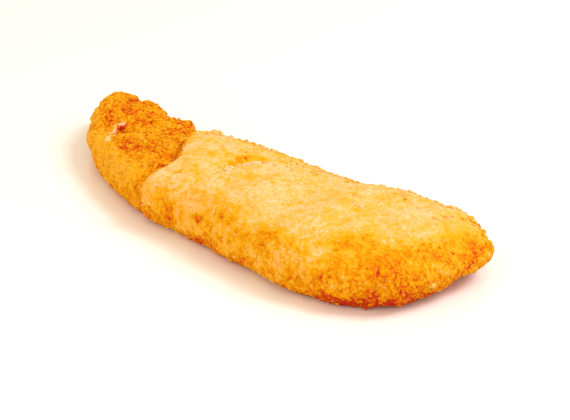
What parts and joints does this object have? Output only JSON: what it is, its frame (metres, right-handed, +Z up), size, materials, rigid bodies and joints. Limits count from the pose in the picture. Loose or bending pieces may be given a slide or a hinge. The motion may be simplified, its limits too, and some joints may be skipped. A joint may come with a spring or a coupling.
{
  "type": "breaded pollock fillet",
  "caption": "Whole breaded fried fish fillet lying flat: a long tapering piece in a golden crumb crust, with a creased narrow tail and a broad rounded head end.",
  "frame": {"origin": "centre of the footprint, on the surface that the fillet lies on", "axes": "+X along the fillet from the thin tail to the broad head end, +Y towards the straighter back edge, +Z up through its thickness"},
  "size_m": [0.206, 0.077, 0.024],
  "materials": {
    "crust": "matt golden breadcrumb crust, pale on top and browner at the tail and round the edges"
  },
  "bodies": {
    "root": {"fillet": "crust"}
  },
  "joints": []
}
